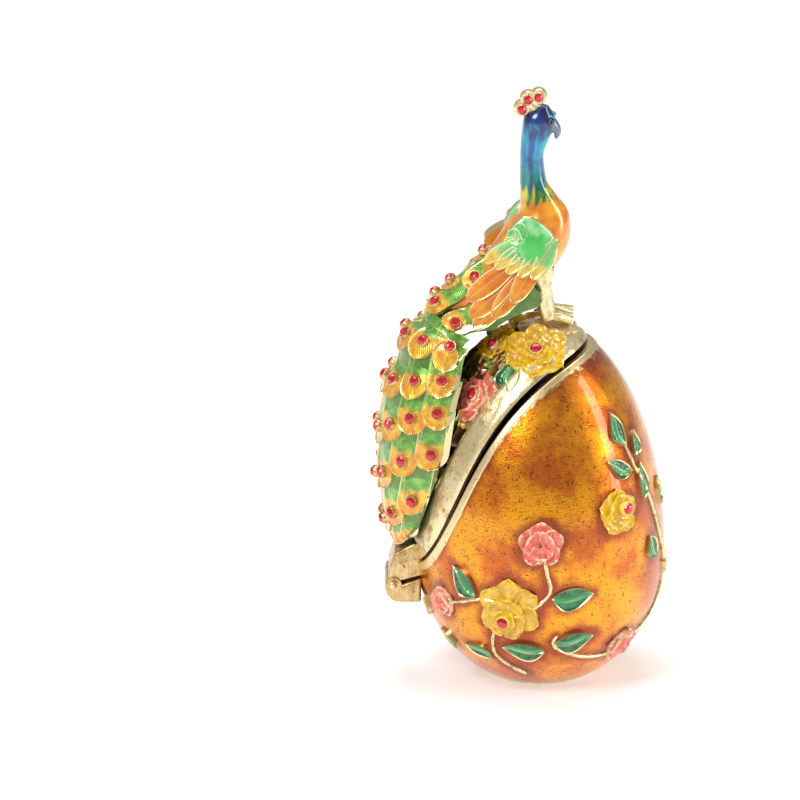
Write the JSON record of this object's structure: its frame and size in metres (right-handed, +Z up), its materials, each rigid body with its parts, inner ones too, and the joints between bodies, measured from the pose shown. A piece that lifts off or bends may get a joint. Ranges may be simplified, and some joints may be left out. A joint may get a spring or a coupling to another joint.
{
  "type": "jewelled egg trinket box",
  "caption": "Enamelled metal egg box whose openwork flower lid, carrying a standing peacock with a long draped train set with crystals, tilts open on a side hinge.",
  "frame": {"origin": "centre of the underside of the egg's flat foot", "axes": "+Z up; +X from the hinge to the opening side, the way the peacock faces; the front shown in the picture looks along -Y"},
  "size_m": [0.066, 0.0586, 0.1347],
  "materials": {
    "amber_enamel": "translucent amber enamel over cast metal, with raised enamelled flowers",
    "antique_gold": "pale antique gold plate with dark patina in the recesses",
    "peacock_enamel": "blue, green, orange and yellow enamel cells with gold edges over cast metal",
    "red_crystal": "faceted, foil backed",
    "hinge_brass": "plain"
  },
  "bodies": {
    "root": {"egg_base": "amber_enamel", "hinge_pin": "hinge_brass", "crystal_yellow_back_flower": "red_crystal", "crystal_yellow_double_flower": "red_crystal", "crystal_yellow_side_flower": "red_crystal"},
    "lid": {"crystal_coral_lid_flower_back": "red_crystal", "crystal_coral_lid_flower_front": "red_crystal", "crystal_crest_1": "red_crystal", "crystal_crest_2": "red_crystal", "crystal_crest_3": "red_crystal", "crystal_small_crown_flower_back": "red_crystal", "crystal_small_crown_flower_front": "red_crystal", "crystal_train_01": "red_crystal", "crystal_train_02": "red_crystal", "crystal_train_03": "red_crystal", "crystal_train_04": "red_crystal", "crystal_train_05": "red_crystal", "crystal_train_06": "red_crystal", "crystal_train_07": "red_crystal", "crystal_train_08": "red_crystal", "crystal_train_09": "red_crystal", "crystal_train_10": "red_crystal", "crystal_train_11": "red_crystal", "crystal_train_12": "red_crystal", "crystal_train_13": "red_crystal", "crystal_train_14": "red_crystal", "crystal_train_15": "red_crystal", "crystal_train_16": "red_crystal", "crystal_train_17": "red_crystal", "crystal_train_18": "red_crystal", "crystal_train_19": "red_crystal", "crystal_train_20": "red_crystal", "crystal_train_21": "red_crystal", "crystal_train_22": "red_crystal", "crystal_train_23": "red_crystal", "crystal_train_24": "red_crystal", "crystal_train_25": "red_crystal", "crystal_train_26": "red_crystal", "crystal_train_27": "red_crystal", "crystal_train_28": "red_crystal", "crystal_train_29": "red_crystal", "crystal_train_30": "red_crystal", "crystal_train_31": "red_crystal", "crystal_train_32": "red_crystal", "crystal_train_33": "red_crystal", "crystal_train_34": "red_crystal", "crystal_train_35": "red_crystal", "crystal_train_36": "red_crystal", "crystal_train_37": "red_crystal", "crystal_train_38": "red_crystal", "crystal_train_39": "red_crystal", "crystal_train_40": "red_crystal", "crystal_train_41": "red_crystal", "crystal_train_42": "red_crystal", "crystal_yellow_crown_flower_back": "red_crystal", "crystal_yellow_crown_flower_front": "red_crystal", "lid_frame": "antique_gold", "peacock": "peacock_enamel"}
  },
  "joints": [
    {"name": "lid_hinge", "type": "hinge", "parent": "root", "child": "lid", "pos_m": [-0.0326, 0, 0.0215], "axis": [0, -1, 0], "range_deg": [0, 80]}
  ]
}
